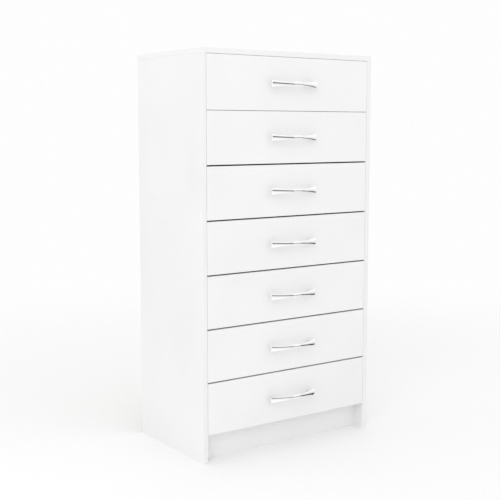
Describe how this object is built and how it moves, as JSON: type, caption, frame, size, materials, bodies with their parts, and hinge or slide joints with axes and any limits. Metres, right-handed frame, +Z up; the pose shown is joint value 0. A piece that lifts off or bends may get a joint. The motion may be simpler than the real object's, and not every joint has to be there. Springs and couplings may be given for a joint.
{
  "type": "tall chest of drawers",
  "caption": "Tall narrow chest with equal inset drawers on plastic runners, a centred bow handle on each, side panels down to the floor and a recessed plinth.",
  "frame": {"origin": "on the floor, at the centre of the bounding box's underside", "axes": "+Z up, the front and its handles face -Y, +X to the right of someone who faces the front"},
  "size_m": [0.6, 0.385, 1.141],
  "materials": {
    "carcass_board": "white melamine-faced chipboard, satin",
    "drawer_front_board": "white melamine-faced chipboard, satin",
    "drawer_box_board": "white foil-wrapped chipboard, satin",
    "thin_panel": "white-painted hardboard, matt",
    "handle_chrome": "polished chrome plating",
    "runner_plastic": "moulded white plastic",
    "zinc_steel": "bright zinc plating"
  },
  "bodies": {
    "carcass": {"top_panel": "carcass_board", "left_side_panel": "carcass_board", "right_side_panel": "carcass_board", "bottom_panel": "carcass_board", "front_plinth": "carcass_board", "cross_rail": "carcass_board", "back_panel": "thin_panel", "drawer_runners": "runner_plastic", "runner_screws": "zinc_steel", "cam_fittings": "zinc_steel", "back_panel_nails": "zinc_steel"},
    "drawer_1": {"drawer_1_front": "drawer_front_board", "drawer_1_left_side": "drawer_box_board", "drawer_1_right_side": "drawer_box_board", "drawer_1_back": "drawer_box_board", "drawer_1_bottom": "thin_panel", "drawer_1_handle": "handle_chrome", "drawer_1_fasteners": "zinc_steel"},
    "drawer_2": {"drawer_2_front": "drawer_front_board", "drawer_2_left_side": "drawer_box_board", "drawer_2_right_side": "drawer_box_board", "drawer_2_back": "drawer_box_board", "drawer_2_bottom": "thin_panel", "drawer_2_handle": "handle_chrome", "drawer_2_fasteners": "zinc_steel"},
    "drawer_3": {"drawer_3_front": "drawer_front_board", "drawer_3_left_side": "drawer_box_board", "drawer_3_right_side": "drawer_box_board", "drawer_3_back": "drawer_box_board", "drawer_3_bottom": "thin_panel", "drawer_3_handle": "handle_chrome", "drawer_3_fasteners": "zinc_steel"},
    "drawer_4": {"drawer_4_front": "drawer_front_board", "drawer_4_left_side": "drawer_box_board", "drawer_4_right_side": "drawer_box_board", "drawer_4_back": "drawer_box_board", "drawer_4_bottom": "thin_panel", "drawer_4_handle": "handle_chrome", "drawer_4_fasteners": "zinc_steel"},
    "drawer_5": {"drawer_5_front": "drawer_front_board", "drawer_5_left_side": "drawer_box_board", "drawer_5_right_side": "drawer_box_board", "drawer_5_back": "drawer_box_board", "drawer_5_bottom": "thin_panel", "drawer_5_handle": "handle_chrome", "drawer_5_fasteners": "zinc_steel"},
    "drawer_6": {"drawer_6_front": "drawer_front_board", "drawer_6_left_side": "drawer_box_board", "drawer_6_right_side": "drawer_box_board", "drawer_6_back": "drawer_box_board", "drawer_6_bottom": "thin_panel", "drawer_6_handle": "handle_chrome", "drawer_6_fasteners": "zinc_steel"},
    "drawer_7": {"drawer_7_front": "drawer_front_board", "drawer_7_left_side": "drawer_box_board", "drawer_7_right_side": "drawer_box_board", "drawer_7_back": "drawer_box_board", "drawer_7_bottom": "thin_panel", "drawer_7_handle": "handle_chrome", "drawer_7_fasteners": "zinc_steel"}
  },
  "joints": [
    {"name": "drawer_1_slide", "type": "slide", "parent": "carcass", "child": "drawer_1", "axis": [0, -1, 0], "range_m": [0, 0.24]},
    {"name": "drawer_2_slide", "type": "slide", "parent": "carcass", "child": "drawer_2", "axis": [0, -1, 0], "range_m": [0, 0.24]},
    {"name": "drawer_3_slide", "type": "slide", "parent": "carcass", "child": "drawer_3", "axis": [0, -1, 0], "range_m": [0, 0.24]},
    {"name": "drawer_4_slide", "type": "slide", "parent": "carcass", "child": "drawer_4", "axis": [0, -1, 0], "range_m": [0, 0.24]},
    {"name": "drawer_5_slide", "type": "slide", "parent": "carcass", "child": "drawer_5", "axis": [0, -1, 0], "range_m": [0, 0.24]},
    {"name": "drawer_6_slide", "type": "slide", "parent": "carcass", "child": "drawer_6", "axis": [0, -1, 0], "range_m": [0, 0.24]},
    {"name": "drawer_7_slide", "type": "slide", "parent": "carcass", "child": "drawer_7", "axis": [0, -1, 0], "range_m": [0, 0.24]}
  ]
}
